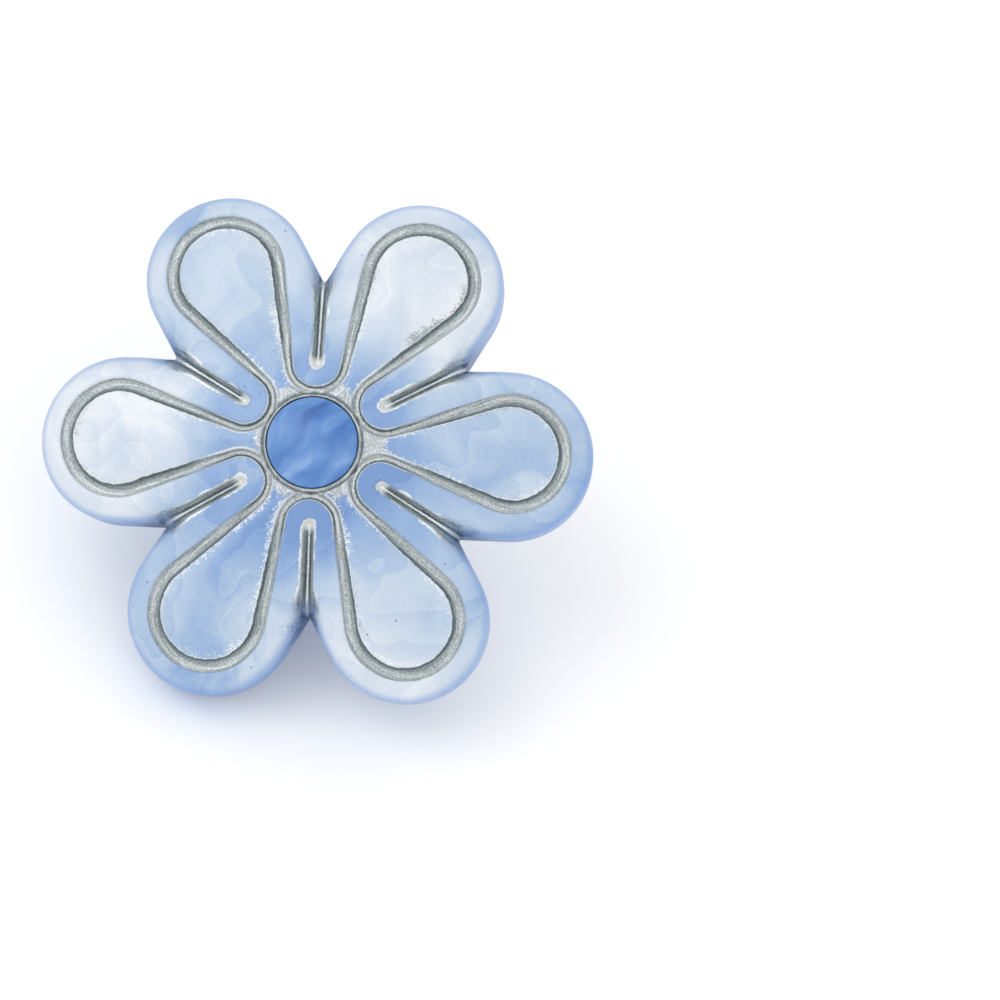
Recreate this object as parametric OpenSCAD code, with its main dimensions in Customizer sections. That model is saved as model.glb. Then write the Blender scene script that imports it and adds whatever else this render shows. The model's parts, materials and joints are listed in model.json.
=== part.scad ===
// Clip-on earring: a cast resin flower with a button in its middle and a
// sprung clip on its back. It stands as it does on a table, on the tip of
// its lowest petal and the heel of its clip.

/* [Flower] */
// Number of petals
petal_count = 6; // [5:1:6]
// Distance from the flower's middle to the tip of a petal
petal_reach = 16; // [15:0.5:18]
// Radius of a petal's round end
lobe_r = 4.8; // [4.6:0.1:5.2]
// How far the notch between two petals is filled in at its bottom
notch_fill = 0.2; // [0.2:0.1:0.6]
// Thickness of the flower at the edge of its button
crown_h = 5.3; // [4.8:0.1:6]
// Fall of the face from the button to the petal tips, in degrees
crown_fall = 9.5; // [6:0.5:11]
// Width of the rounding along the upper edge of the petals
edge_w = 0.9; // [0.5:0.1:1.1]

/* [Moulded lines] */
// Distance from a petal's outline to the middle of its groove
groove_inset = 1.65; // [1.5:0.05:1.8]
// Width of the groove round each panel
groove_w = 0.6; // [0.4:0.05:0.8]
// Depth of the groove
groove_deep = 0.35; // [0.2:0.05:0.5]
// Radius of a panel's round end, to the middle of the groove
panel_r = 3.05; // [2.8:0.05:3.2]
// Distance from the flower's middle to the inner end of a slot
slot_start = 4.64; // [4.5:0.02:4.9]
// Width of the slot between two petals
slot_w = 0.9; // [0.6:0.1:1.1]
// Depth of the slot between two petals
slot_deep = 0.9; // [0.6:0.1:1.6]

/* [Button] */
// Radius of the button
button_r = 2.6; // [2.4:0.05:2.65]
// Height of the button's dome above its edge
button_dome = 0.75; // [0.4:0.05:1.2]
// Depth of the seat that the button is set in
button_seat = 0.9; // [0.6:0.1:1.4]
// Gap all round the button in its seat
button_gap = 0.05; // [0.02:0.01:0.1]
// Width of the ring groove round the button, from the button's edge
ring_w = 0.25; // [0.15:0.05:0.3]
// Depth of the ring groove
ring_deep = 0.5; // [0.4:0.05:0.6]

/* [Clip base] */
// Turn of the clip from the petal that it lies behind, in degrees
clip_turn = 12; // [-20:1:20]
// Thickness of the stamped steel
metal_t = 0.35; // [0.3:0.05:0.4]
// Radius of the pad that is glued to the flower's back
pad_r = 4.5; // [3.5:0.1:6]
// Width across the outside of the two ears
clip_w = 6.5; // [6.2:0.1:7.5]
// Distance of the hinge below the flower's middle
hinge_low = 4.45; // [4:0.05:5]
// Distance of the hinge behind the flower's back
hinge_deep = 6.2; // [6:0.1:6.6]
// Distance from the hinge to the outer face of the riser
riser_off = 1.33; // [1.3:0.01:1.5]
// Height of the riser
riser_h = 4.1; // [3.8:0.1:4.2]
// Radius of an ear's round end
ear_r = 1.72; // [1.6:0.02:1.76]

/* [Hinge] */
// Radius of the lugs that the paddle turns on
lug_r = 0.6; // [0.45:0.05:0.7]
// Gap between a lug and its hole in the ear
hinge_play = 0.05; // [0.02:0.01:0.08]
// Gap between the paddle and each ear
side_play = 0.1; // [0.06:0.02:0.14]

/* [Spring] */
// Width of the spring
spring_w = 2.6; // [2:0.1:2.8]
// Thickness of the spring
spring_t = 0.25; // [0.2:0.01:0.26]

/* [Paddle] */
// Distance from the hinge down to the paddle's heel
heel_low = 0.7; // [0.6:0.05:0.8]
// Distance of the heel behind the flower's back
heel_deep = 8.45; // [8.45:0.05:8.8]
// Distance from the flower's middle up to the end of the paddle's foot
foot_reach = 14.35; // [13:0.05:14.6]
// Thickness of the paddle
paddle_t = 0.4; // [0.3:0.02:0.42]
// Depth of the flanges along the paddle's sides, at the hinge
flange_deep = 2.9; // [2.8:0.05:3]
// Distance from the heel to the middle of the opening's round end
eye_up = 2.9; // [2.6:0.1:3.2]
// Radius of the round end of the opening in the paddle
eye_r = 1.5; // [1:0.1:1.6]
// Length of the opening in the paddle
eye_l = 7.4; // [4:0.1:8]

/* [Hidden] */
$fn = 64;
slack = 0.5; // how far a cutting shape runs past what it cuts
lap = 0.5; // how far the groove's straight parts run into its round ones
slim = 0.02; // how much narrower a side the round ones are, so that no two walls touch at a tangent

resin = "#a9c4ec";
resin_deep = "#5d8fd6";
nickel = "#c9ccca";

// Flower sizes that follow from the named ones
petal_step = 360 / petal_count;
half_step = petal_step / 2;
first_petal = 90 - clip_turn;
lobe_x = petal_reach - lobe_r;
notch_x = lobe_r / sin(half_step);
fall = tan(crown_fall);
crown_top = crown_h + button_r * fall;
function crown_z(r) = crown_top - r * fall;

// Shape of the rounded edge: [how far in from the outline, how far down],
// as shares of edge_w
edge_steps = [[1, 0], [0.4, 0.25], [-0.05, 0.85], [-0.8, 2.6]];

// Groove: an arc round each slot's end, a straight run, an arc round the panel
slot_end = slot_start * [cos(half_step), sin(half_step)];
panel_x = petal_reach - groove_inset - panel_r;
run_from = atan2(-slot_end.y, panel_x - slot_end.x);
run_span = norm([panel_x - slot_end.x, slot_end.y]);
run_dir = run_from + asin((groove_inset + panel_r) / run_span);
run_normal = [-sin(run_dir), cos(run_dir)];

// Clip sizes that follow from the named ones, as [up the flower, out of its back]
hinge = [-hinge_low, -hinge_deep];
riser_y = hinge.x - riser_off;
ear_gap = clip_w - 2 * metal_t;
paddle_half = ear_gap / 2 - side_play;
heel = [hinge.x - heel_low, -heel_deep];
paddle_l = foot_reach - heel.x;

// Paddle sections from the heel to the foot, as shares:
// [along the paddle's length, back face's share of heel_deep,
//  half width's share of paddle_half, depth's share of flange_deep]
ALONG = 0;
DEEP = 1;
HALF = 2;
FLANGE = 3;
sections = [
    [0.000, 1.000, 0.90, 0.17],
    [0.014, 0.989, 1.00, 0.22],
    [0.040, 0.967, 1.00, 1.00],
    [0.140, 0.888, 1.00, 0.76],
    [0.220, 0.846, 1.00, 0.70],
    [0.300, 0.794, 1.00, 0.66],
    [0.392, 0.691, 0.98, 0.53],
    [0.493, 0.544, 0.84, 0.38],
    [0.546, 0.466, 0.73, 0.35],
    [0.613, 0.392, 0.62, 0.35],
    [0.717, 0.302, 0.53, 0.38],
    [0.770, 0.257, 0.51, 0.36],
    [0.790, 0.244, 0.50, 0.14],
    [0.905, 0.172, 0.48, 0.14],
    [0.962, 0.122, 0.40, 0.14],
    [1.000, 0.068, 0.22, 0.14]
];
function section_y(s) = heel.x + s[ALONG] * paddle_l;
function section_z(s) = -s[DEEP] * heel_deep;

// Spring's middle line from its foot on the pad to its tip at the heel, seen
// from the hinge: [distance up the flower, as a share of riser_off,
// distance towards the pad, as a share of the spring's height]
spring_h = hinge_deep - metal_t - spring_t / 2;
spring_line = [
    [1.80, 1.00],
    [-0.11, 1.00],
    [-0.41, 0.94],
    [-0.49, 0.82],
    [-0.49, 0.23],
    [-0.26, 0.14],
    [0.23, 0.03],
    [0.38, -0.08],
    [0.19, -0.17],
    [-0.15, -0.18]
];

// Standing pose: the lowest petal's tip and the heel both touch the floor
petal_low = min([for (k = [0:petal_count - 1])
    lobe_x * sin(first_petal + k * petal_step)]) - lobe_r;
petal_high = max([for (k = [0:petal_count - 1])
    lobe_x * sin(first_petal + k * petal_step)]) + lobe_r;
lean = atan2(heel_deep, heel.x - petal_low);
rim_in = edge_steps[1][0] * edge_w;
rim_z = crown_z(petal_reach - rim_in) - edge_steps[1][1] * edge_w;
front_y = (petal_low + rim_in) * cos(lean) - rim_z * sin(lean);
back_y = petal_high * cos(lean);

module standing() {
    translate([0, -(front_y + back_y) / 2, -petal_low * sin(lean)])
        rotate([lean, 0, 0])
            children();
}

// Extrudes a shape drawn as [up the flower, out of its back] across the clip
module across(w) {
    rotate([90, 0, 90])
        translate([0, 0, -w / 2])
            linear_extrude(height = w)
                children();
}

module each_petal(turn = 0) {
    for (k = [0:petal_count - 1])
        rotate(first_petal + k * petal_step + turn)
            children();
}

// Petals with straight sides and round ends, on a disc that fills the notches
module outline() {
    circle(r = notch_x + notch_fill);
    each_petal() {
        translate([lobe_x, 0])
            circle(r = lobe_r);
        translate([0, -lobe_r])
            square([lobe_x, 2 * lobe_r]);
    }
}

function reversed(list) = [for (i = [len(list) - 1:-1:0]) list[i]];

// Cone of the face, lowered by a depth
module crown(down = 0) {
    r = petal_reach + 2 * slack;
    rotate_extrude()
        polygon([[0, -slack], [r, -slack], [r, crown_z(r) - down], [0, crown_top - down]]);
}

// One petal's block with its rounded upper edge, tilted with the face
module edge_block() {
    deep = crown_top + 4 * slack;
    spread = lobe_r + deep * fall + 2 * slack;
    steps = concat(
        [for (s = edge_steps) [lobe_r - s[0] * edge_w, -s[1] * edge_w]],
        [[spread, -deep]]
    );
    half = concat([[0, 0]], steps, [[0, -deep]]);
    both = concat(steps, [for (p = reversed(steps)) [-p.x, p.y]]);
    reach = lobe_x / cos(crown_fall);
    translate([0, 0, crown_top])
        rotate([0, crown_fall, 0]) {
            translate([reach, 0, 0])
                rotate_extrude()
                    polygon(half);
            rotate([90, 0, 90])
                linear_extrude(height = reach)
                    polygon(both);
        }
}

module ring_arc(r, from, to) {
    far = 3 * r;
    half = groove_w / 2 - slim;
    intersection() {
        difference() {
            circle(r = r + half);
            circle(r = r - half);
        }
        polygon(concat([[0, 0]], [for (i = [0:6]) far * [
            cos(from + (to - from) * i / 6), sin(from + (to - from) * i / 6)]]));
    }
}

// Groove's round parts: round the inner end of each slot, and round the outer
// end of each panel
module groove_arcs() {
    each_petal(half_step)
        translate([slot_start, 0])
            ring_arc(groove_inset, 180 - (90 - half_step + run_dir), 180 + (90 - half_step + run_dir));
    each_petal()
        translate([panel_x, 0])
            ring_arc(panel_r, -90 - run_dir, 90 + run_dir);
}

// Groove's straight parts along each panel's sides
module groove_runs() {
    along = [cos(run_dir), sin(run_dir)];
    low = slot_end - groove_inset * run_normal - lap * along;
    high = [panel_x, 0] + panel_r * run_normal + lap * along;
    each_petal()
        for (side = [0, 1])
            mirror([0, side])
                polygon([
                    low - groove_w / 2 * run_normal,
                    high - groove_w / 2 * run_normal,
                    high + groove_w / 2 * run_normal,
                    low + groove_w / 2 * run_normal
                ]);
}

module slots() {
    each_petal(half_step) {
        translate([slot_start, 0])
            circle(r = slot_w / 2);
        translate([slot_start, -slot_w / 2])
            square([notch_x + notch_fill + slack - slot_start, slot_w]);
    }
}

// What a line of the given depth takes out of the face
module sunk(deep) {
    difference() {
        linear_extrude(height = crown_top + slack)
            children();
        crown(deep);
    }
}

module flower() {
    color(resin)
        standing()
            difference() {
                intersection() {
                    linear_extrude(height = crown_top + slack)
                        outline();
                    crown();
                    union()
                        each_petal()
                            edge_block();
                }
                sunk(groove_deep)
                    groove_arcs();
                sunk(groove_deep)
                    groove_runs();
                sunk(slot_deep)
                    slots();
                translate([0, 0, crown_h - button_seat])
                    cylinder(r = button_r + button_gap, h = crown_h);
                translate([0, 0, crown_h - ring_deep])
                    cylinder(r = button_r + ring_w, h = crown_h);
            }
}

module centre_button() {
    dome_r = (button_r * button_r + button_dome * button_dome) / (2 * button_dome);
    color(resin_deep)
        standing()
            intersection() {
                translate([0, 0, crown_h - button_seat])
                    cylinder(r = button_r, h = button_seat + button_dome);
                translate([0, 0, crown_h + button_dome - dome_r])
                    sphere(r = dome_r);
            }
}

module ear_shape() {
    bottom = sqrt(ear_r * ear_r - riser_off * riser_off / 4);
    difference() {
        union() {
            translate(hinge)
                circle(r = ear_r);
            polygon([
                [riser_y, -riser_h + metal_t],
                [riser_y + metal_t, -riser_h + metal_t],
                [riser_y + 2 * metal_t, -riser_h - metal_t],
                hinge,
                [hinge.x - riser_off / 2, hinge.y - bottom],
                [riser_y, hinge.y - bottom + riser_off / 3]
            ]);
        }
        translate(hinge)
            circle(r = lug_r + hinge_play);
    }
}

module clip_base() {
    color(nickel)
        standing() {
            translate([0, 0, -metal_t])
                cylinder(r = pad_r, h = metal_t);
            translate([-clip_w / 2, riser_y, -metal_t])
                cube([clip_w, -riser_y, metal_t]);
            translate([-clip_w / 2, riser_y, -riser_h])
                cube([clip_w, metal_t, riser_h]);
            for (side = [-1, 1])
                translate([side * (clip_w - metal_t) / 2, 0, 0])
                    across(metal_t)
                        ear_shape();
        }
}

// Points on one side of a line, half a thickness away from it
function side_points(line, off) = [for (i = [0:len(line) - 1])
    let(
        a = line[max(i - 1, 0)],
        b = line[min(i + 1, len(line) - 1)],
        n = [a.y - b.y, b.x - a.x] / norm(b - a)
    )
    line[i] + off * n];

module clip_spring() {
    line = [for (p = spring_line) hinge + [p.x * riser_off, p.y * spring_h]];
    color(nickel)
        standing()
            across(spring_w)
                polygon(concat(
                    side_points(line, spring_t / 2),
                    reversed(side_points(line, -spring_t / 2))
                ));
}

// Side view of the paddle between its back face and a depth above it
module paddle_side(depths) {
    n = len(sections) - 1;
    polygon(concat(
        [for (s = sections) [section_y(s), section_z(s)]],
        [for (i = [n:-1:0]) [section_y(sections[i]), section_z(sections[i]) + depths[i]]]
    ));
}

// Plan of the paddle, drawn in by an inset
module paddle_plan(inset = 0) {
    right = [for (s = sections) [s[HALF] * paddle_half - inset, section_y(s)]];
    left = [for (p = reversed(right)) [-p.x, p.y]];
    polygon(concat(right, left));
}

module plan_cut(inset = 0) {
    translate([0, 0, -heel_deep - slack])
        linear_extrude(height = heel_deep + slack)
            paddle_plan(inset);
}

module eye_plan() {
    eye_y = heel.x + eye_up;
    translate([0, eye_y])
        circle(r = eye_r);
    polygon([
        [-eye_r, eye_y],
        [eye_r, eye_y],
        [eye_r / 4, eye_y + eye_l - eye_r],
        [-eye_r / 4, eye_y + eye_l - eye_r]
    ]);
}

module clip_paddle() {
    plate = [for (s = sections) paddle_t];
    flange = [for (s = sections) s[FLANGE] * flange_deep];
    color(nickel)
        standing() {
            difference() {
                intersection() {
                    across(ear_gap)
                        paddle_side(plate);
                    plan_cut();
                }
                translate([0, 0, -heel_deep - slack])
                    linear_extrude(height = heel_deep)
                        eye_plan();
            }
            difference() {
                intersection() {
                    across(ear_gap)
                        paddle_side(flange);
                    plan_cut();
                }
                plan_cut(metal_t);
            }
            for (side = [-1, 1])
                translate([side * (clip_w / 2 + paddle_half) / 2, hinge.x, hinge.y])
                    rotate([0, 90, 0])
                        cylinder(r = lug_r, h = clip_w / 2 - paddle_half + metal_t, center = true);
        }
}

flower();
centre_button();
clip_base();
clip_spring();
clip_paddle();
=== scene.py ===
import json
import math

import bmesh
import bpy
import numpy as np
from mathutils import Matrix, Vector, geometry


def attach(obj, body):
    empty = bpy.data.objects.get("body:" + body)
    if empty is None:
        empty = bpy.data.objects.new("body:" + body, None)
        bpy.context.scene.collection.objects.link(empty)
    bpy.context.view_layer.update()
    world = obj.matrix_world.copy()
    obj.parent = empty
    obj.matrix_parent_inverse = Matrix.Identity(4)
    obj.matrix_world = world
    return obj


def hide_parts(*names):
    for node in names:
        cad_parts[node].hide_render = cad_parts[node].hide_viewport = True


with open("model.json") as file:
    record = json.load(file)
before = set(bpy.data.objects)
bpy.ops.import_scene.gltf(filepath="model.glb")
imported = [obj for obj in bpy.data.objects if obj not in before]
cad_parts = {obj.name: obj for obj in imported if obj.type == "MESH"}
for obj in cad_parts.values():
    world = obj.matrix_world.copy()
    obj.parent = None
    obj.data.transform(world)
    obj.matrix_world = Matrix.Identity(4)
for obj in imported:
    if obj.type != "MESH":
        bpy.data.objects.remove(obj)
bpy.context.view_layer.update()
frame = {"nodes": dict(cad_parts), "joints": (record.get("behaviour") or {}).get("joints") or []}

# Flower. One casting of marbled pearl resin with a moulded groove round each
# petal's panel and a slot between every two petals, both filled with silver
# paint and wiped, so that dark patina stays in the corners.

MM = 0.001
petal_count = 6
petal_reach = 16.0        # middle to the tip of a petal, in mm as all sizes here
lobe_r = 4.8              # the round end of a petal
crown_h = 5.3             # thickness at the edge of the button
crown_fall = math.radians(9.5)      # slope of the face from there to the rim
button_r = 2.6
seat_r = button_r + 0.05
seat_deep = 0.9
groove_inset = 1.65       # the rim and a slot's end to the groove's middle line
groove_half = 0.38        # half the groove's width at the tips; it narrows to the middle
groove_narrow = 0.24      # half its width at the button
groove_deep = 0.36
panel_r = 3.05            # the round end of the groove's middle line
panel_pillow = 0.26       # how far a panel swells above the face
panel_ease = 0.9          # and over what distance from the groove
slot_start = 4.64         # middle of the flower to a slot's inner end
slot_half = 0.44          # half a slot's width
slot_floor = 0.08         # half the width of its floor
slot_deep = 0.65
slot_flare = 0.75         # how much wider a slot opens where it meets the notch
ring_half = 0.14          # ring groove round the button
ring_deep = 0.3
edge_in = 1.05            # rounding of the upper edge: inwards and down
edge_down = 0.85
notch_fillet = 0.12
foot_in = 0.2             # rounding of the lower edge
clip_turn = 12            # degrees between a petal and the clip's way up
hinge_low, hinge_deep = 4.45, 6.2       # the paddle's hinge: below the middle, behind the back
heel_low, heel_deep = 0.7, 8.45         # the clip's heel: below the hinge, behind the back

half_step = math.pi / petal_count
half_deg = math.degrees(half_step)
first_petal = math.radians(90 - clip_turn)
lobe_x = petal_reach - lobe_r
fall = math.tan(crown_fall)
ray = np.array([math.cos(half_step), math.sin(half_step)])      # the slot's way out
off_ray = np.array([ray[1], -ray[0]])
slot_end = slot_start * ray
notch_mid = (lobe_r + notch_fillet) / math.sin(half_step) * ray
notch_low = notch_mid - notch_fillet * ray
notch_r = float(np.hypot(*notch_low))
# The groove runs straight between its bends round the slot's end and round the panel
panel_x = petal_reach - groove_inset - panel_r
run_span = math.hypot(panel_x - slot_end[0], slot_end[1])
run_turn = math.atan2(-slot_end[1], panel_x - slot_end[0]) + math.asin((groove_inset + panel_r) / run_span)
run_dir = np.array([math.cos(run_turn), math.sin(run_turn)])
run_side = np.array([-run_dir[1], run_dir[0]])
run_low = slot_end - groove_inset * run_side
run_high = np.array([panel_x, 0]) + panel_r * run_side
run_length = float((run_high - run_low) @ run_dir)
bend_deg = math.degrees(run_turn) - 90


def arc(middle, r, start, end, count):
    """Points along an arc, from one angle in degrees to another."""
    turn = np.radians(np.linspace(start, end, count))
    return np.stack([middle[0] + r * np.cos(turn), middle[1] + r * np.sin(turn)], 1)


def line(start, end, count):
    """Points along a straight line."""
    share = np.linspace(0, 1, count)[:, None]
    return np.asarray(start) * (1 - share) + np.asarray(end) * share


def ease(x, low, high):
    """0 below low, 1 above high, smooth between them."""
    share = np.clip((x - low) / (high - low), 0, 1)
    return share * share * (3 - 2 * share)


def groove_row(off):
    """A line beside the groove's middle, off mm towards the panel, in half a petal."""
    return np.concatenate([
        arc(slot_end, groove_inset + off, -180 + half_deg, bend_deg, 26),
        line(run_low - off * run_side, run_high - off * run_side, 52)[1:],
        arc((panel_x, 0), panel_r - off, bend_deg + 180, 0, 46)[1:],
    ])


def slot_row(off):
    """A line beside the slot's middle, off mm from it and round its inner end, in half a petal."""
    row = np.concatenate([
        arc(slot_end, off, half_deg + 180, half_deg + 270, max(3, int(off * 14)))[:-1],
        line(slot_end + off * off_ray, notch_low + off * off_ray + 1.5 * ray, 60),
    ])
    return row[outline_distance(row) > 0.01]


def outline_row(off):
    """The outline of half a petal, off mm inside it, from the tip to the notch."""
    return np.concatenate([
        arc((lobe_x, 0), lobe_r - off, 0, 90, 54),
        line((lobe_x, lobe_r - off), (notch_mid[0], lobe_r - off), 14)[1:],
        arc(notch_mid, notch_fillet + off, -90, -180 + half_deg, 9)[1:],
    ])


def groove_width(p):
    """Half the groove's width near a point, in mm."""
    return groove_narrow + (groove_half - groove_narrow) * ease(np.hypot(*p.T), seat_r, lobe_x)


def groove_distance(p):
    """Distance from the groove's middle in mm, positive on the panel."""
    best = np.full(len(p), np.inf)
    out = np.zeros(len(p))
    from_slot, from_panel = p - slot_end, p - np.array([panel_x, 0])
    along = (p - run_low) @ run_dir
    turn = np.degrees(np.arctan2(from_slot[:, 1], from_slot[:, 0]))
    tip_turn = np.degrees(np.arctan2(from_panel[:, 1], from_panel[:, 0]))
    for inside, value in (
        ((turn <= bend_deg + 0.01) | (turn > 179), np.hypot(*from_slot.T) - groove_inset),
        ((along >= 0) & (along <= run_length), -(p - run_low) @ run_side),
        ((tip_turn >= -1) & (tip_turn <= bend_deg + 180), panel_r - np.hypot(*from_panel.T)),
    ):
        near = inside & (np.abs(value) < best)
        best[near] = np.abs(value)[near]
        out[near] = value[near]
    return out


def slot_distance(p):
    """Distance from the slot's middle line in mm."""
    return np.where(p @ ray < slot_start, np.hypot(*(p - slot_end).T), np.abs(p @ off_ray))


def outline_distance(p):
    """How far inside the outline a point lies, in mm."""
    from_lobe, from_notch = p - np.array([lobe_x, 0]), p - notch_mid
    flank = np.where(p[:, 0] > notch_mid[0], lobe_r - p[:, 1], np.hypot(*from_notch.T) - notch_fillet)
    return np.where(p[:, 0] > lobe_x, lobe_r - np.hypot(*from_lobe.T), flank)


def face_height(p):
    """Height of the flower's face above its flat back, in mm."""
    r = np.hypot(*p.T)
    groove, slot, inside = groove_distance(p), slot_distance(p), np.clip(outline_distance(p), 0, None)
    z = crown_h + (button_r - r) * fall
    half = groove_width(p)
    z = z + panel_pillow * (1 - np.exp(-np.clip(groove - half * 0.7, 0, None) / panel_ease))
    z = z - groove_deep * np.exp(-(np.abs(groove + 0.04) / (half * 0.86)) ** 4)
    wide = slot_half + slot_flare * ease(r, notch_r - 1.7, notch_r + 0.1)
    z = z - slot_deep * (1 - ease(slot, slot_floor, wide))
    z = z - ring_deep * np.exp(-(np.abs(r - seat_r - ring_half) / ring_half) ** 4)
    share = np.clip(1 - inside / edge_in, 0, 1)
    return z - edge_down * (1 - np.sqrt(1 - share * share))


def spaced(groups):
    """Points of all (points, gap) groups, leaving out those nearer than the gap to an earlier one."""
    kept = np.zeros((0, 2))
    for group, gap in groups:
        group = group[(group[:, 1] > -1e-7) & (group @ off_ray > -1e-7)]
        group = group[np.hypot(*group.T) > seat_r - 1e-7]
        if len(kept) and len(group):
            group = group[np.array([np.hypot(*(kept - q).T).min() > gap for q in group], bool)]
        kept = np.concatenate([kept, group])
    return kept


def filled(points, edge):
    """Triangles between points, inside a closed edge, as (points, faces)."""
    everything = np.concatenate([edge, points])
    loop = [(i, (i + 1) % len(edge)) for i in range(len(edge))]
    flat, _, tris, _, _, _ = geometry.delaunay_2d_cdt([Vector(q) for q in everything], loop, [], 1, 1e-5)
    return np.array([tuple(q) for q in flat]), [list(f) for f in tris]


def edge_line(found, start, end, step):
    """Points of one straight edge of the half petal: those found there, and more in between."""
    long = float(np.hypot(*(end - start)))
    along = (end - start) / long
    places = sorted(set([0.0, long] + [float((q - start) @ along) for q in found]))
    places = [s for i, s in enumerate(places) if i == 0 or s - places[i - 1] > 0.015]
    more = []
    for a, b in zip(places, places[1:]):
        more += list(np.linspace(a, b, max(2, int((b - a) / step) + 2))[:-1])
    return start + np.array(more)[:, None] * along


# The mesh of half a petal's face has rows of points along the slot, the groove, the rounded
# edge and the ring, at these distances from them, and a plain grid in between
slot_offs = (0, 0.06, 0.11, 0.16, 0.21, 0.26, 0.31, 0.36, 0.41, 0.46, 0.54, 0.66)
groove_offs = (-0.62, -0.52, -0.44, -0.38, -0.33, -0.28, -0.23, -0.17, -0.1, 0,
               0.1, 0.16, 0.21, 0.25, 0.29, 0.34, 0.4, 0.48, 0.6, 0.78)
outline_offs = (0.012, 0.045, 0.1, 0.17, 0.26, 0.37, 0.5, 0.66, 0.84, 1.04)
ring_offs = (0.05, 0.1, 0.15, 0.2, 0.25, 0.31, 0.4)
grid_step, edge_step = 0.27, 0.2

grid_x, grid_y = np.meshgrid(
    np.arange(seat_r, petal_reach, grid_step), np.arange(0.12, lobe_r + 1, grid_step * 0.87))
grid_x[1::2] += grid_step / 2
grid = np.stack([grid_x.ravel(), grid_y.ravel()], 1)
grid = grid[outline_distance(grid) > 0.15]
inner = spaced(
    [(slot_row(off), 0.02) for off in slot_offs]
    + [(groove_row(off), 0.055) for off in groove_offs]
    + [(outline_row(off), 0.05) for off in outline_offs]
    + [(arc((0, 0), seat_r + off, 0, half_deg, 16), 0.06) for off in ring_offs]
    + [(grid, 0.19)])
on_axis = np.abs(inner[:, 1]) < 1e-6
on_ray = np.abs(inner @ off_ray) < 1e-6

rim = outline_row(0)
seat_rim = arc((0, 0), seat_r, 0, half_deg, 16)
face_edge = np.concatenate([
    edge_line(inner[on_axis], np.array([seat_r, 0.0]), np.array([rim[0][0], 0.0]), edge_step), rim[:-1],
    edge_line(inner[on_ray], rim[-1], seat_r * ray, edge_step), seat_rim[::-1][:-1]])
face_xy, face_tris = filled(inner[~on_axis & ~on_ray], face_edge)

foot = outline_row(foot_in)
back_grid = np.meshgrid(np.arange(0.8, petal_reach, 1.3), np.arange(0.6, lobe_r, 1.2))
back_grid = np.stack([axis.ravel() for axis in back_grid], 1)
back_grid = back_grid[(outline_distance(back_grid) > 0.6) & (back_grid @ off_ray > 0.3)]
back_edge = np.concatenate([line((0, 0), foot[0], 14)[:-1], foot[:-1], line(foot[-1], (0, 0), 10)[:-1]])
back_xy, back_tris = filled(back_grid, back_edge)

# What the paint needs to know of each point: how far it is from the groove, in half widths of
# it, and from the slot, the middle, the notch and the rim, in mm, and which side it is on
mark_names = ("groove_share", "slot_mm", "middle_mm", "notch_mm", "rim_mm", "wall")
ON_FACE, ON_WALL, ON_BACK = 0, 1, 2
no_groove = -9.0
verts, faces, marks = [], [], []


def add_points(xy, z, wall):
    """Adds points with their marks, and gives the number of the first."""
    first = len(verts)
    verts.extend(np.concatenate([xy, np.broadcast_to(z, (len(xy),))[:, None]], 1) * MM)
    groove, rim_off = np.full(len(xy), no_groove), np.zeros(len(xy))
    if wall == ON_FACE:
        groove = groove_distance(xy) / groove_width(xy)
        rim_off = np.clip(outline_distance(xy), 0, None)
    notch, sides = np.hypot(*(xy - notch_low).T), np.full(len(xy), float(wall))
    marks.append(np.stack([groove, slot_distance(xy), np.hypot(*xy.T), notch, rim_off, sides], 1))
    return first


def add_rows(rows, wall, flip=False):
    """Adds a strip of faces through rows of points, each (xy, z)."""
    starts = [add_points(xy, z, wall) for xy, z in rows]
    for a, b in zip(starts, starts[1:]):
        for i in range(len(rows[0][0]) - 1):
            face = [a + i, a + i + 1, b + i + 1, b + i]
            faces.append(face[::-1] if flip else face)


first = add_points(face_xy, face_height(face_xy), ON_FACE)
faces += [[first + i for i in f] for f in face_tris]
rim_top = face_height(rim)
rows = [(rim, rim_top * (1 - s) + foot_in * s) for s in np.linspace(0, 1, 12)]
rows += [(outline_row(foot_in * (1 - math.cos(a))), foot_in * (1 - math.sin(a)))
         for a in np.radians((30, 60, 90))]
add_rows(rows, ON_WALL, flip=True)
first = add_points(back_xy, 0, ON_BACK)
faces += [[first + i for i in f][::-1] for f in back_tris]
seat_top = face_height(seat_rim)
seat_z = crown_h - seat_deep
add_rows([(seat_rim, seat_top * (1 - s) + seat_z * s) for s in np.linspace(0, 1, 5)], ON_FACE)
add_rows([(seat_rim * s, seat_z) for s in (1, 0.75, 0.5, 0.25, 0)], ON_FACE)

half_petal = bpy.data.meshes.new("half_petal")
half_petal.from_pydata([tuple(v) for v in verts], [], faces)
for name, values in zip(mark_names, np.concatenate(marks).T):
    half_petal.attributes.new(name, "FLOAT", "POINT").data.foreach_set("value", values.astype(np.float32))
flower = bpy.data.objects.new("resin_flower", half_petal)
bpy.context.scene.collection.objects.link(flower)


def linear(colour, alpha=1.0):
    """An sRGB hex colour as the linear values that a shader takes."""
    parts = [int(colour[i:i + 2], 16) / 255 for i in (1, 3, 5)]
    return [c / 12.92 if c <= 0.04045 else ((c + 0.055) / 1.055) ** 2.4 for c in parts] + [alpha]


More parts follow.
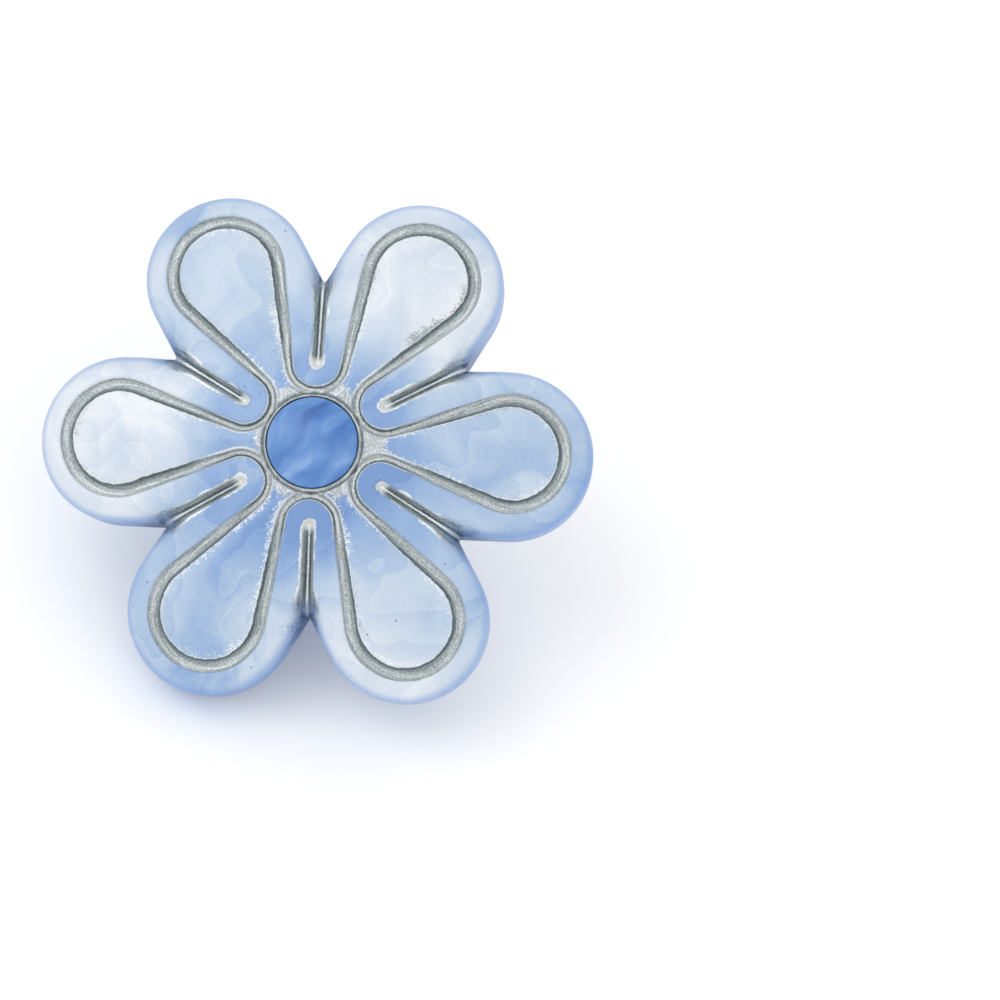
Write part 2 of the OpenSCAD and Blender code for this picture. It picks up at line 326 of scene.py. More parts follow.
def add(tree, kind, inputs=(), stops=(), **settings):
    """Adds a node with its settings and links. Inputs come in order or by name, each a value, a socket
    or a node, which gives its first output. A ramp's stops are (place, hex colour, cover if not full)."""
    made = tree.nodes.new(kind)
    for key, value in settings.items():
        setattr(made, key, value)
    if isinstance(inputs, dict):
        pairs = [(made.inputs[key], value) for key, value in inputs.items()]
    else:
        pairs = list(zip([socket for socket in made.inputs if socket.enabled], inputs))
    for socket, value in pairs:
        if isinstance(value, bpy.types.Node):
            value = next(output for output in value.outputs if output.enabled)
        if isinstance(value, bpy.types.NodeSocket):
            tree.links.new(value, socket)
        else:
            socket.default_value = value
    while stops and len(made.color_ramp.elements) < len(stops):
        made.color_ramp.elements.new(0.5)
    for i, stop in enumerate(stops):
        made.color_ramp.elements[i].position = stop[0]
    for i, stop in enumerate(stops):
        made.color_ramp.elements[i].color = linear(*stop[1:])
    return made


# The casting repeats: half a petal is mirrored, and the petal is set round the middle
ring_tree = bpy.data.node_groups.new("petal_ring", "GeometryNodeTree")
for name, kind, way in (("Half petal", "NodeSocketGeometry", "INPUT"), ("Petals", "NodeSocketInt", "INPUT"),
                        ("First petal", "NodeSocketFloat", "INPUT"), ("Resin", "NodeSocketMaterial", "INPUT"),
                        ("Flower", "NodeSocketGeometry", "OUTPUT")):
    ring_tree.interface.new_socket(name, in_out=way, socket_type=kind)
given = add(ring_tree, "NodeGroupInput").outputs
mirrored = add(ring_tree, "GeometryNodeTransform", {"Geometry": given["Half petal"], "Scale": (1, -1, 1)})
outwards = add(ring_tree, "GeometryNodeFlipFaces", {"Mesh": mirrored})
petal = add(ring_tree, "GeometryNodeJoinGeometry")
ring_tree.links.new(given["Half petal"], petal.inputs[0])
ring_tree.links.new(outwards.outputs[0], petal.inputs[0])
places = add(ring_tree, "GeometryNodeMeshLine", {"Count": given["Petals"], "Offset": (0, 0, 0)})
number = add(ring_tree, "GeometryNodeInputIndex")
petal_step = add(ring_tree, "ShaderNodeMath", (2 * math.pi, given["Petals"]), operation="DIVIDE")
angle = add(ring_tree, "ShaderNodeMath", (number, petal_step, given["First petal"]), operation="MULTIPLY_ADD")
turn = add(ring_tree, "ShaderNodeCombineXYZ", {"Z": angle})
petals = add(ring_tree, "GeometryNodeInstanceOnPoints", {
    "Points": places, "Instance": petal, "Rotation": turn})
real = add(ring_tree, "GeometryNodeRealizeInstances", {"Geometry": petals})
welded = add(ring_tree, "GeometryNodeMergeByDistance", {"Geometry": real, "Distance": 0.004 * MM})
cast = add(ring_tree, "GeometryNodeSetMaterial", {"Geometry": welded, "Material": given["Resin"]})
add(ring_tree, "NodeGroupOutput", {"Flower": cast})

# The earring leans back on its clip's heel and its two lowest petals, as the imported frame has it
petal_low = min(lobe_x * math.sin(first_petal + 2 * k * half_step) for k in range(petal_count)) - lobe_r
lean = math.atan2(heel_deep, -hinge_low - heel_low - petal_low)
tilt = Matrix.Rotation(lean, 4, "X")
hinge = Vector(frame["joints"][0]["pos_m"])
standing = Matrix.Translation(hinge - tilt @ (Vector((0, -hinge_low, -hinge_deep)) * MM)) @ tilt

# Cast polyester resin with mother-of-pearl paste: cloudy blue and milk white in
# slow swirls, satin from tumbling. The paint on it is silver, wiped at the edges.
resin = bpy.data.materials.new("pearl_resin_with_silver_paint")
resin.use_nodes = True
t = resin.node_tree       # the tree of the material in hand, here and in later sections
t.nodes.clear()
where = add(t, "ShaderNodeTexCoord").outputs["Object"]
groove, slot, middle, notch, rim_off, wall = [
    add(t, "ShaderNodeAttribute", attribute_name=name).outputs["Fac"] for name in mark_names]
side_wall = add(t, "ShaderNodeMath", (wall, 1.0), operation="MINIMUM")


def size(mm):
    """Scale of a pattern on Object coordinates whose features are so many mm."""
    return 1 / (mm * MM)


def unevenness(vector, mm, detail=2.0, rough=0.5):
    """A random pattern around 0 whose features are so many mm."""
    cloud = add(t, "ShaderNodeTexNoise", {
        "Vector": vector, "Scale": size(mm), "Detail": detail, "Roughness": rough})
    return add(t, "ShaderNodeMath", (cloud, 0.5), operation="SUBTRACT")


def stirred(vector, mm, by_mm):
    """Coordinates pushed about in swirls of so many mm, by up to so many mm."""
    swirl = add(t, "ShaderNodeTexNoise", {"Vector": vector, "Scale": size(mm), "Detail": 2.0})
    push = add(t, "ShaderNodeVectorMath", (swirl.outputs["Color"], (0.5, 0.5, 0.5)), operation="SUBTRACT")
    return add(t, "ShaderNodeVectorMath", (push, (2 * by_mm * MM,) * 3, vector), operation="MULTIPLY_ADD")


def way_on_face(degrees):
    """The turn of a pattern that is drawn out along the face, at an angle to the clip's way up."""
    return (tilt.to_3x3() @ Matrix.Rotation(math.radians(degrees), 3, "Z")).to_euler()


def place_on_face(petal, out, side):
    """A place on the face, out mm along a petal, counted from the first, and side mm beside its middle."""
    turn = first_petal + 2 * petal * half_step
    x, y = out * math.cos(turn) - side * math.sin(turn), out * math.sin(turn) + side * math.cos(turn)
    face_h = crown_h - 0.8      # about half way out
    return standing @ (Vector((x, y, face_h)) * MM)


def patch(petal, out, side, full_mm, none_mm, amount, edge="SMOOTHSTEP"):
    """An amount near a place on the face, full up to full_mm from it and none past none_mm."""
    off = add(t, "ShaderNodeVectorMath", (where, place_on_face(petal, out, side)), operation="DISTANCE")
    reach = (off, full_mm * MM, none_mm * MM, amount, 0.0)
    return add(t, "ShaderNodeMapRange", reach, interpolation_type=edge)


# How much white paste is at each point: clouds of it, layers that each start with a crisp
# edge at a contour of a slow pattern, brush-like strokes, and a fine grain
swirled = stirred(where, 9, 7)
contours = add(t, "ShaderNodeMath", (unevenness(swirled, 8, 1.0), 7.0), operation="MULTIPLY")
layers = add(t, "ShaderNodeMath", (contours,), operation="FRACT")
brushed = {"Vector": swirled, "Rotation": way_on_face(125), "Scale": (4, 1, 1)}
brushed = add(t, "ShaderNodeMapping", brushed, vector_type="TEXTURE")
milk = 0.45
for pattern, weight in ((unevenness(swirled, 9, 2.0, 0.4), 0.85), (layers, 0.08),
                        (unevenness(brushed, 2.0, 3.0, 0.6), 0.24), (unevenness(where, 0.16), 0.14)):
    milk = add(t, "ShaderNodeMath", (pattern, weight, milk), operation="MULTIPLY_ADD")
# The paste pooled in some petals more than in others, and kept away from the middle
outside_groove = add(t, "ShaderNodeMapRange", (groove, -1.0, 1.0, -0.03, 0.0))
towards_middle = add(t, "ShaderNodeMapRange", (middle, 3.5, 9.0, -0.17, 0.0), interpolation_type="SMOOTHSTEP")
pools = [patch(petal_number, out, side, 3.0, 7.5, amount) for petal_number, out, side, amount in (
    (0, 11.5, 0, 0.28), (0, 7.5, 0, 0.05), (1, 14.5, 2.5, 0.1), (2, 12, 0, 0.34),
    (2, 7.5, 0, -0.06), (4, 12, -2, 0.12), (5, 12, 2, 0.1), (5, 7, 0, -0.08))]
for more in [outside_groove, towards_middle] + pools:
    milk = add(t, "ShaderNodeMath", (milk, more), operation="ADD")
# In one petal it set in rings, like an agate
ring_off = add(t, "ShaderNodeVectorMath", (where, place_on_face(2, 13.4, -0.6)), operation="DISTANCE")
ring_off = add(t, "ShaderNodeMath", (unevenness(where, 4), 2.4 * MM, ring_off), operation="MULTIPLY_ADD")
ring_number = add(t, "ShaderNodeMath", (ring_off, size(1.15)), operation="MULTIPLY")
ring_share = add(t, "ShaderNodeMath", (ring_number,), operation="FRACT")
ring_depth = add(t, "ShaderNodeMapRange", (ring_off, 1.5 * MM, 6 * MM, -0.07, 0.0),
                 interpolation_type="SMOOTHSTEP")
milk = add(t, "ShaderNodeMath", (ring_share, ring_depth, milk), operation="MULTIPLY_ADD")
# Less paste came to the walls and the back, which are plainer and bluer
wall_milk = 0.25
milk = add(t, "ShaderNodeMath", (milk, wall_milk), operation="SUBTRACT")
contrast = add(t, "ShaderNodeMath", (side_wall, -0.55, 1.0), operation="MULTIPLY_ADD")
milk = add(t, "ShaderNodeMath", (milk, contrast, wall_milk), operation="MULTIPLY_ADD")
body = add(t, "ShaderNodeValToRGB", (milk,), stops=(
    (0.18, "#7092c4"), (0.3, "#86a4ce"), (0.42, "#9fb6d3"),
    (0.55, "#b7c7da"), (0.7, "#cbd4e0"), (0.85, "#dfe3e8")))
near_rim = add(t, "ShaderNodeMapRange", (rim_off, 0.0, 0.5, 1.0, 0.0), interpolation_type="SMOOTHSTEP")
plainer = add(t, "ShaderNodeMath", (side_wall, near_rim), operation="MAXIMUM")
plainer = add(t, "ShaderNodeMath", (plainer, 0.65), operation="MULTIPLY")
body = add(t, "ShaderNodeMix", (plainer, body, linear("#6f98d2")), data_type="RGBA")

# The paint's own patterns: its ragged edge, its flakes, and a slow change from place to place
ragged = unevenness(where, 0.3, 5.0, 0.7)
fine = unevenness(where, 0.1, 2.0, 0.6)
drift = unevenness(where, 2.6)
silver, bright, dull, dark = "#bcc2c3", "#e8ebec", "#9aa3a5", "#5a686c"


def across_groove(*stops):
    """Stops of a ramp across the groove, whose places are given in half widths of it."""
    return [((share + 2) / 4, *rest) for share, *rest in stops]


# Patina lies deepest against the panel at the tips, and against the other side near the middle
wavy = add(t, "ShaderNodeMath", (drift, 0.35, groove), operation="MULTIPLY_ADD")
wavy = add(t, "ShaderNodeMath", (ragged, 0.5, wavy), operation="MULTIPLY_ADD")
groove_place = add(t, "ShaderNodeMapRange", (wavy, -2, 2))
# At the tips the silver on the rim side is painted lighter, against the shade of the groove's outer wall, and
# the thin bright line against the panel is a painted highlight on the groove's edge.
tip_paint_and_light = add(t, "ShaderNodeValToRGB", (groove_place,), stops=across_groove(
    (-1.12, "#9aa5aa", 0.0), (-1.0, "#9aa5aa", 0.9), (-0.86, "#c3c9ca"), (-0.5, "#c3c9ca"), (-0.1, "#adb5b6"),
    (0.3, dull), (0.56, "#869194"), (0.72, dark), (0.9, "#66747a"), (1.02, bright, 0.8), (1.12, bright, 0.0)))
neck_paint = add(t, "ShaderNodeValToRGB", (groove_place,), stops=across_groove(
    (-1.3, bright, 0.0), (-1.15, bright, 0.9), (-0.98, dull), (-0.82, dark), (-0.66, dark), (-0.4, silver),
    (0.1, "#d2d6d6"), (0.4, dull), (0.62, silver), (0.95, bright), (1.2, bright, 0.0)))
inward = add(t, "ShaderNodeMath", (drift, 3.0, middle), operation="MULTIPLY_ADD")
inward = add(t, "ShaderNodeMapRange", (inward, 4.6, 7.2, 1.0, 0.0), interpolation_type="SMOOTHSTEP")
groove_paint_and_light = add(t, "ShaderNodeMix", (inward, tip_paint_and_light, neck_paint), data_type="RGBA")
groove_paint_and_light_cover = add(t, "ShaderNodeMath", (inward, neck_paint.outputs["Alpha"]), operation="MULTIPLY")
groove_paint_and_light_cover = add(t, "ShaderNodeMath", (tip_paint_and_light.outputs["Alpha"], groove_paint_and_light_cover), operation="MAXIMUM")

# Specks of paint that the wiping left on the panel beside the groove, in places more and grimy
panel_from, panel_to = 0.9, 2.8
specks = add(t, "ShaderNodeMapRange", (groove, 1.0, panel_to, 0.42, 0.0))
for petal_number, out, side, amount in (
        (0, 10, -2.2, 0.09), (0, 9, 2.2, 0.06), (1, 9.5, -2.3, 0.07), (4, 7.5, -1.4, 0.05)):
    left_on = patch(petal_number, out, side, 1.5, 3.5, amount)
    specks = add(t, "ShaderNodeMath", (specks, left_on), operation="ADD")
for pattern, weight in ((ragged, 1.0), (fine, 1.2), (drift, 0.8)):
    specks = add(t, "ShaderNodeMath", (pattern, weight, specks), operation="MULTIPLY_ADD")
specks = add(t, "ShaderNodeMapRange", (specks, 0.39, 0.5, 0.0, 0.78))
for limit, kept_side in ((panel_from, "GREATER_THAN"), (panel_to, "LESS_THAN")):
    on_panel = add(t, "ShaderNodeMath", (groove, limit), operation=kept_side)
    specks = add(t, "ShaderNodeMath", (specks, on_panel), operation="MULTIPLY")
grimy = add(t, "ShaderNodeMapRange", (unevenness(where, 5, 1.0), -0.12, 0.02, 1.0, 0.0))
grimy = add(t, "ShaderNodeMath", (grimy, patch(0, 10, -2.2, 2.0, 3.0, 1.0, "LINEAR")), operation="MAXIMUM")
speck_tone = add(t, "ShaderNodeMix", (grimy, linear("#e6ebec"), linear("#84918f")), data_type="RGBA")

# The paint's band in a slot grows wider outwards; wiping took the bright line beside it in places
slot_wide = add(t, "ShaderNodeMapRange", (middle, 4.6, 9.6, 0.42, 0.56))
slot_mouth = add(t, "ShaderNodeMapRange", (notch, 0.0, 1.8, 0.35, 0.0), interpolation_type="SMOOTHSTEP")
slot_wide = add(t, "ShaderNodeMath", (slot_wide, slot_mouth), operation="ADD")
slot_wavy = [add(t, "ShaderNodeMath", (ragged, weight, slot), operation="MULTIPLY_ADD")
             for weight in (0.09, 0.32)]
slot_share, slot_edge = [add(t, "ShaderNodeMath", (off, slot_wide), operation="DIVIDE") for off in slot_wavy]
wiped = add(t, "ShaderNodeMapRange", (unevenness(where, 1.7, 1.0), -0.06, 0.06, 0.0, 0.26))
slot_edge = add(t, "ShaderNodeMath", (slot_edge, wiped), operation="ADD")
slot_place = add(t, "ShaderNodeMath", (slot_share, 0.8), operation="MULTIPLY")
slot_tone = add(t, "ShaderNodeValToRGB", (slot_place,), stops=(
    (0.0, bright), (0.07, "#cdd2d2"), (0.11, "#5c6d75"), (0.2, "#5c6d75"), (0.28, "#8a999e"),
    (0.36, "#a9b1b3"), (0.46, "#96a2a6"), (0.56, "#c9cfcf"), (0.76, bright)))
# A pale blob of it fills the inner end, painted lighter than the paint itself against the shade in the slot's
# end, and patina the outer one, more so in the lower notches
pale_blob_with_painted_light = add(t, "ShaderNodeMath", (ragged, 0.8, middle), operation="MULTIPLY_ADD")
pale_blob_with_painted_light = add(t, "ShaderNodeMapRange", (pale_blob_with_painted_light, 4.75, 5.1))
slot_tone = add(t, "ShaderNodeMix", (pale_blob_with_painted_light, linear("#eceeed"), slot_tone), data_type="RGBA")
height = add(t, "ShaderNodeSeparateXYZ", (where,)).outputs["Z"]
# Darker towards the floor: the lower a place stands, the more of the dark it gets, here at the slot's end and
# at the notch below.
low_side = add(t, "ShaderNodeMapRange", (height, 6 * MM, 17 * MM, 1.0, 0.45))
slot_patina = add(t, "ShaderNodeMapRange", (middle, 8.2, 9.7, 0.0, 0.85), interpolation_type="SMOOTHSTEP")
slot_patina = add(t, "ShaderNodeMath", (slot_patina, low_side), operation="MULTIPLY")
slot_tone = add(t, "ShaderNodeMix", (slot_patina, slot_tone, linear("#4a6189")), data_type="RGBA")
past_slot = add(t, "ShaderNodeMapRange", (middle, 9.2, 9.8))
past_notch = add(t, "ShaderNodeMath", (ragged, 1.2, notch), operation="MULTIPLY_ADD")
past_notch = add(t, "ShaderNodeMapRange", (past_notch, 0.1, 0.7))
past_notch = add(t, "ShaderNodeMath", (past_slot, past_notch), operation="MULTIPLY")
bare = add(t, "ShaderNodeMath", (side_wall, past_notch), operation="MAXIMUM")
not_bare = add(t, "ShaderNodeMath", (1.0, bare), operation="SUBTRACT")
slot_cover = add(t, "ShaderNodeMapRange", (slot_edge, 0.95, 1.08, 1.0, 0.0))
slot_cover = add(t, "ShaderNodeMath", (slot_cover, not_bare), operation="MULTIPLY")

# Round the button: a thin bright ring, and silver between the grooves' necks
hub = middle
for pattern, weight in ((fine, -0.8), (ragged, -2.2), (drift, -1.5)):
    hub = add(t, "ShaderNodeMath", (pattern, weight, hub), operation="MULTIPLY_ADD")
for petal_number, out, amount in ((5, 4.0, 0.75), (0, 3.6, 0.6)):
    hub = add(t, "ShaderNodeMath", (hub, patch(petal_number, out, 0, 0.5, 1.5, amount)), operation="SUBTRACT")
hub_cover = add(t, "ShaderNodeMapRange", (hub, 3.2, 3.45, 0.95, 0.0))
between_necks = add(t, "ShaderNodeMath", (groove, 0.0), operation="GREATER_THAN")
hub_cover = add(t, "ShaderNodeMath", (hub_cover, between_necks), operation="MULTIPLY")
ring_cover = add(t, "ShaderNodeMapRange", (middle, 2.86, 2.92, 1.0, 0.0))
hub_cover = add(t, "ShaderNodeMath", (hub_cover, ring_cover), operation="MAXIMUM")
# In the gap round the button, on the seat's wall and floor, the colour is painted lighter against the shadow
# there.
hub_place = add(t, "ShaderNodeMapRange", (middle, 2.6, 3.2))
hub_paint_and_gap_light = add(t, "ShaderNodeValToRGB", (hub_place,), stops=(
    (0.0, "#a3b4c2"), (0.08, "#8b989d"), (0.18, bright), (0.28, silver),
    (0.4, dark), (0.5, dull), (0.62, silver)))

# Dark patina where the slot opens into the notch, and down the walls beside it
notch_off = add(t, "ShaderNodeMath", (notch, side_wall), operation="SUBTRACT")
for pattern, weight in ((drift, 1.6), (ragged, 1.5)):
    notch_off = add(t, "ShaderNodeMath", (pattern, weight, notch_off), operation="MULTIPLY_ADD")
notch_cover = add(t, "ShaderNodeMapRange", (notch_off, 0.0, 1.2, 0.85, 0.0))
on_edge = add(t, "ShaderNodeMapRange", (rim_off, 0.15, 0.6, 1.0, 0.0))
on_edge = add(t, "ShaderNodeMath", (wall, on_edge), operation="MAXIMUM")
off_back = add(t, "ShaderNodeMath", (wall, 1.5), operation="LESS_THAN")
for share in (low_side, on_edge, off_back):
    notch_cover = add(t, "ShaderNodeMath", (notch_cover, share), operation="MULTIPLY")

shade = body
for cover, tone in ((specks, speck_tone), (groove_paint_and_light_cover, groove_paint_and_light), (hub_cover, hub_paint_and_gap_light),
                    (notch_cover, linear("#4b628c")), (slot_cover, slot_tone)):
    shade = add(t, "ShaderNodeMix", (cover, shade, tone), data_type="RGBA")
any_paint = groove_paint_and_light_cover
for cover in (hub_cover, slot_cover, notch_cover):
    any_paint = add(t, "ShaderNodeMath", (any_paint, cover), operation="MAXIMUM")

# Aluminium flakes in the paint catch the light one by one: their glints are painted into the colour
# as fixed light and dark specks. They are drawn 0.1 mm and more across, coarser than real ones, so
# that they show. Wiping drew them into lines along the grooves and slots, so a pattern that changes
# fastest across those is added
groove_lines = add(t, "ShaderNodeMath", (groove, -1.5), operation="MAXIMUM")
groove_lines = add(t, "ShaderNodeMath", (groove_lines, 1.6), operation="MULTIPLY")
slot_lines = add(t, "ShaderNodeMath", (slot, 1.2), operation="MINIMUM")
slot_lines = add(t, "ShaderNodeMath", (slot_lines, 5.0), operation="MULTIPLY")
lines = add(t, "ShaderNodeCombineXYZ", (groove_lines, slot_lines))
lines = add(t, "ShaderNodeVectorMath", (where, (size(3.0),) * 3, lines), operation="MULTIPLY_ADD")
lines = add(t, "ShaderNodeTexNoise", {"Vector": lines, "Scale": 2.0, "Detail": 1.0})
lines = add(t, "ShaderNodeMath", (lines, 0.5), operation="SUBTRACT")
painted_flake_glints = 0.5
for pattern, weight in ((ragged, 0.5), (fine, 1.7), (lines, 1.3)):
    painted_flake_glints = add(t, "ShaderNodeMath", (pattern, weight, painted_flake_glints), operation="MULTIPLY_ADD")
painted_flake_glints = add(t, "ShaderNodeValToRGB", (painted_flake_glints,), stops=(
    (0.05, "#6c7273"), (0.5, "#bababb"), (0.95, "#f2f2f2")))
flakes_and_painted_glints = add(t, "ShaderNodeMix", (0.75, shade, painted_flake_glints), data_type="RGBA", blend_type="OVERLAY")
shade = add(t, "ShaderNodeMix", (any_paint, shade, flakes_and_painted_glints), data_type="RGBA")

# Pinholes of the casting, some with dirt in them
holes = add(t, "ShaderNodeTexVoronoi", {"Vector": where, "Scale": size(1.2)})
sound = add(t, "ShaderNodeMapRange", (holes, 0.03, 0.08))
pinhole = add(t, "ShaderNodeMath", (1.0, sound), operation="SUBTRACT")
chance = add(t, "ShaderNodeSeparateColor", (holes.outputs["Color"],))
dirty = add(t, "ShaderNodeMath", (chance, 0.45), operation="GREATER_THAN")
dirty = add(t, "ShaderNodeMath", (dirty, 0.75), operation="MULTIPLY")
dirt_cover = add(t, "ShaderNodeMath", (pinhole, dirty), operation="MULTIPLY")
shade = add(t, "ShaderNodeMix", (dirt_cover, shade, linear("#4f6fa8")), data_type="RGBA")

rough = add(t, "ShaderNodeMapRange", (any_paint, 0.0, 1.0, 0.36, 0.45))
rough = add(t, "ShaderNodeMath", (ragged, 0.12, rough), operation="MULTIPLY_ADD")
relief = add(t, "ShaderNodeMath", (sound, 0.25), operation="MULTIPLY")
relief = add(t, "ShaderNodeMath", (fine, 0.5, relief), operation="MULTIPLY_ADD")
bump = add(t, "ShaderNodeBump", {"Height": relief, "Strength": 0.35, "Distance": 0.06 * MM})
metal_share = add(t, "ShaderNodeMath", (any_paint, 0.3), operation="MULTIPLY")
shader = add(t, "ShaderNodeBsdfPrincipled", {
    "Base Color": shade, "Roughness": rough, "Metallic": metal_share, "IOR": 1.55, "Normal": bump})
add(t, "ShaderNodeOutputMaterial", {"Surface": shader})

ring_mod = flower.modifiers.new("petal_ring", "NODES")
ring_mod.node_group = ring_tree
sockets = {item.name: item.identifier for item in ring_tree.interface.items_tree if item.in_out == "INPUT"}
for name, value in (("Petals", petal_count), ("First petal", first_petal), ("Resin", resin)):
    ring_mod[sockets[name]] = value


def made_plain(piece):
    """Turns a piece's modifiers into its mesh, and takes them off."""
    bpy.context.view_layer.update()
    done = bpy.data.meshes.new_from_object(piece.evaluated_get(bpy.context.evaluated_depsgraph_get()))
    piece.modifiers.clear()
    piece.data = done
    return done


made_plain(flower).transform(standing)
flower.data.shade_smooth()
flower.data.set_sharp_from_angle(angle=math.radians(60))
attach(flower, "flower_body")
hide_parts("flower")

# Button. A small dome of deeper blue resin with a dark streak through it,
# polished, and cemented into the seat in the middle of the flower.

button_dome = 0.75        # how high the dome's top stands above its edge
button_edge = 0.12        # rounding of the edge
button_sides = 96
dome_r = (button_r ** 2 + button_dome ** 2) / (2 * button_dome)
profile = [(button_r, -seat_deep), (button_r, -0.4), (button_r, -button_edge)]
for a in np.radians((25, 50, 75)):
    in_by, up_by = button_edge * (1 - math.cos(a)), 1.4 * button_edge * math.sin(a)
    profile.append((button_r - in_by, up_by - button_edge))
for r in np.linspace(button_r - button_edge * 1.5, 0, 14):
    profile.append((r, math.sqrt(dome_r ** 2 - r * r) - dome_r + button_dome))

dome = bmesh.new()
turns = [2 * math.pi * i / button_sides for i in range(button_sides)]
loops = [[dome.verts.new((r * math.cos(a) * MM, r * math.sin(a) * MM, (crown_h + z) * MM)) for a in turns]
         for r, z in profile[:-1]]
top = dome.verts.new((0, 0, (crown_h + profile[-1][1]) * MM))
dome.faces.new(loops[0][::-1])
for i in range(button_sides):
    after = (i + 1) % button_sides
    for a, b in zip(loops, loops[1:]):
        dome.faces.new((a[i], a[after], b[after], b[i]))
    dome.faces.new((loops[-1][i], loops[-1][after], top))
bmesh.ops.recalc_face_normals(dome, faces=dome.faces)
button_mesh = bpy.data.meshes.new("button")
dome.to_mesh(button_mesh)
button_mesh.transform(standing)
button_mesh.shade_smooth()
button_mesh.set_sharp_from_angle(angle=math.radians(50))
button = bpy.data.objects.new("resin_button", button_mesh)
bpy.context.scene.collection.objects.link(button)

# Cast resin again, with more pigment and less paste: deep blue, glossier
deep = bpy.data.materials.new("deep_blue_resin")
deep.use_nodes = True
t = deep.node_tree
t.nodes.clear()
where = add(t, "ShaderNodeTexCoord").outputs["Object"]
brushed = {"Vector": stirred(where, 3, 0.75), "Rotation": way_on_face(66), "Scale": (3.5, 1, 1)}
brushed = add(t, "ShaderNodeMapping", brushed, vector_type="TEXTURE")
streaks = add(t, "ShaderNodeTexNoise", {
    "Vector": brushed, "Scale": size(1.6), "Detail": 4.0, "Roughness": 0.5})
tone = add(t, "ShaderNodeValToRGB", (streaks,), stops=(
    (0.3, "#264f97"), (0.42, "#4273b7"), (0.56, "#5d8ac6"), (0.7, "#8badda")))
polish = add(t, "ShaderNodeTexNoise", {"Vector": where, "Scale": size(0.3), "Detail": 2.0})
bump = add(t, "ShaderNodeBump", {"Height": polish, "Strength": 0.1, "Distance": 0.03 * MM})
rough = add(t, "ShaderNodeMath", (polish, 0.12, 0.22), operation="MULTIPLY_ADD")
shader = add(t, "ShaderNodeBsdfPrincipled", {
    "Base Color": tone, "Roughness": rough, "IOR": 1.55, "Normal": bump})
add(t, "ShaderNodeOutputMaterial", {"Surface": shader})
button_mesh.materials.append(deep)
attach(button, "flower_body")
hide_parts("centre_button")

# Clip. Three stampings of thin steel, bent to shape and plated bright: the
# base with its two ears, the spring between them, and the paddle.

stamped_edge = 0.06       # rounding that stamping and plating leave on the edges

# Bright plated steel: a mirror dulled a little by smudges and fine wear
plated = bpy.data.materials.new("bright_plated_steel")
plated.use_nodes = True
t = plated.node_tree
t.nodes.clear()
where = add(t, "ShaderNodeTexCoord").outputs["Object"]
smudge = add(t, "ShaderNodeTexNoise", {"Vector": where, "Scale": size(2.5), "Detail": 3.0})
wear = add(t, "ShaderNodeTexNoise", {"Vector": where, "Scale": size(0.4), "Detail": 3.0})
tone = add(t, "ShaderNodeValToRGB", (smudge,), stops=((0.3, "#b9bbbb"), (0.5, "#c2c4c3"), (0.7, "#cacac8")))
bump = add(t, "ShaderNodeBump", {"Height": wear, "Strength": 0.15, "Distance": 0.02 * MM})
rough = add(t, "ShaderNodeMath", (smudge, 0.12, 0.05), operation="MULTIPLY_ADD")
shader = add(t, "ShaderNodeBsdfPrincipled", {
    "Base Color": tone, "Metallic": 1.0, "Roughness": rough, "Normal": bump})
add(t, "ShaderNodeOutputMaterial", {"Surface": shader})

for node_name, body_name in (
        ("clip_base", "flower_body"), ("clip_spring", "flower_body"), ("clip_paddle", "paddle_body")):
    source = bmesh.new()
    source.from_mesh(frame["nodes"][node_name].data)
    bmesh.ops.remove_doubles(source, verts=source.verts, dist=0.001 * MM)
    bmesh.ops.dissolve_limit(source, angle_limit=math.radians(1), verts=source.verts, edges=source.edges)
    stamped = bpy.data.meshes.new("plated_" + node_name)
    source.to_mesh(stamped)
    piece = bpy.data.objects.new("plated_" + node_name, stamped)
    bpy.context.scene.collection.objects.link(piece)
    edges = piece.modifiers.new("edges", "BEVEL")
    edges.width = stamped_edge * MM
    edges.segments = 2
    edges.limit_method = "ANGLE"
    edges.angle_limit = math.radians(40)
    made_plain(piece)
    piece.data.shade_smooth()
    piece.data.set_sharp_from_angle(angle=math.radians(35))
    piece.data.materials.clear()
    piece.data.materials.append(plated)
    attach(piece, body_name)
    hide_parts(node_name)

# Setting. A plain table top of white paper under three soft boxes and an even
# pale sky, seen at the photograph's angle to the flower's face.

floor_half = 1.5          # in metres
corners = [(x * floor_half, y * floor_half, 0) for x, y in ((-1, -1), (1, -1), (1, 1), (-1, 1))]
floor_mesh = bpy.data.meshes.new("table_top")
floor_mesh.from_pydata(corners, [], [(0, 1, 2, 3)])
floor = bpy.data.objects.new("table_top", floor_mesh)
bpy.context.scene.collection.objects.link(floor)
paper = bpy.data.materials.new("white_paper")
paper.use_nodes = True
paper.node_tree.nodes["Principled BSDF"].inputs["Base Color"].default_value = linear("#fdfdfd")
paper.node_tree.nodes["Principled BSDF"].inputs["Roughness"].default_value = 0.9
floor_mesh.materials.append(paper)

picture_px = 1000
flower_px = Vector((317.4, 449.1))      # the flower's middle in the picture, from its upper left corner
px_per_mm = 17.25
view_far = 150 * MM
sensor_mm = 36
picture_turn = Matrix.Rotation(math.radians(20.5), 3, "Z")      # the clip's way up, against the picture's
face_view = Vector((0.0927, -0.1174, 0.9888))                   # the way to the eye, from the flower's face

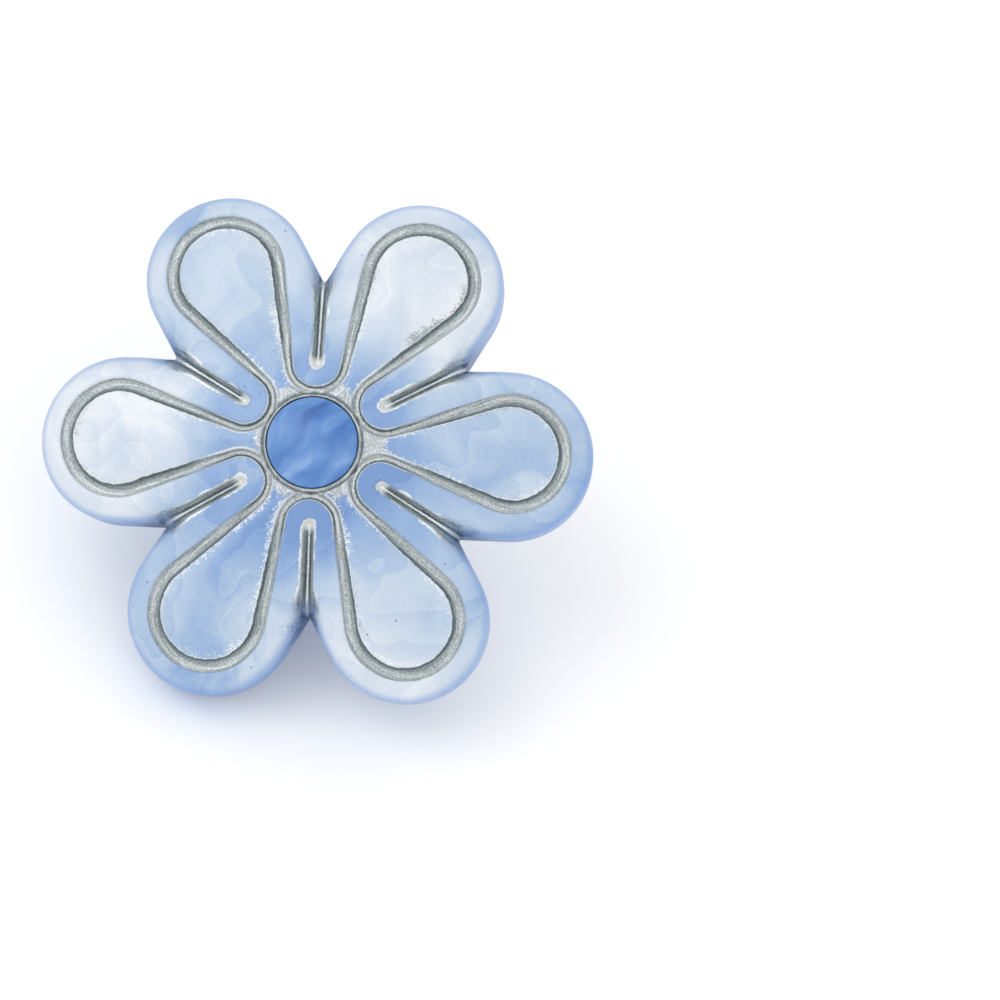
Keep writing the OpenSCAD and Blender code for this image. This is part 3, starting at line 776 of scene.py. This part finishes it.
flower_mid = standing @ Vector((0, 0, 2.0 * MM))
back_way = (tilt.to_3x3() @ (picture_turn @ face_view)).normalized()
up_hint = tilt.to_3x3() @ (picture_turn @ Vector((0, 1, 0)))
eye = flower_mid + back_way * view_far
# The flower isn't in the picture's middle, so the camera's aim is moved until it has its place
for _ in range(4):
    right = up_hint.cross(back_way).normalized()
    up = back_way.cross(right)
    aside = right * (flower_px.x - picture_px / 2) + up * (picture_px / 2 - flower_px.y)
    target = flower_mid - aside * (MM / px_per_mm)
    back_way = (eye - target).normalized()
right = up_hint.cross(back_way).normalized()
up = back_way.cross(right)
camera_data = bpy.data.cameras.new("camera")
camera_data.sensor_width = sensor_mm
camera_data.lens = sensor_mm * (eye - target).length / (picture_px / px_per_mm * MM)
camera_data.clip_start = 0.005
camera = bpy.data.objects.new("camera", camera_data)
camera.matrix_world = Matrix.Translation(eye) @ Matrix((right, up, back_way)).transposed().to_4x4()
bpy.context.scene.collection.objects.link(camera)
bpy.context.scene.camera = camera

lit_place = Vector((0, 0, 0.01))
for name, place, width, watts, tint in (
    ("soft_box_left", (-0.28, -0.16, 0.42), 0.36, 0.55, (1.0, 1.0, 1.0)),
    ("soft_box_right", (0.34, -0.3, 0.3), 0.3, 0.24, (0.98, 0.99, 1.0)),
    ("soft_box_back", (0.05, 0.4, 0.34), 0.4, 0.26, (1.0, 1.0, 1.0)),
):
    lamp = bpy.data.lights.new(name, "AREA")
    lamp.shape = "SQUARE"
    lamp.size = width
    lamp.energy = watts
    lamp.color = tint
    box = bpy.data.objects.new(name, lamp)
    bpy.context.scene.collection.objects.link(box)
    aim = (Vector(place) - lit_place).normalized()
    side = Vector((0, 0, 1)).cross(aim).normalized()
    box.matrix_world = Matrix.Translation(place) @ Matrix((side, aim.cross(side), aim)).transposed().to_4x4()

world = bpy.data.worlds.new("studio")
bpy.context.scene.world = world
world.use_nodes = True
world.node_tree.nodes["Background"].inputs["Color"].default_value = (0.99, 0.995, 1.0, 1.0)
world.node_tree.nodes["Background"].inputs["Strength"].default_value = 0.92
bpy.context.scene.view_settings.view_transform = "Standard"
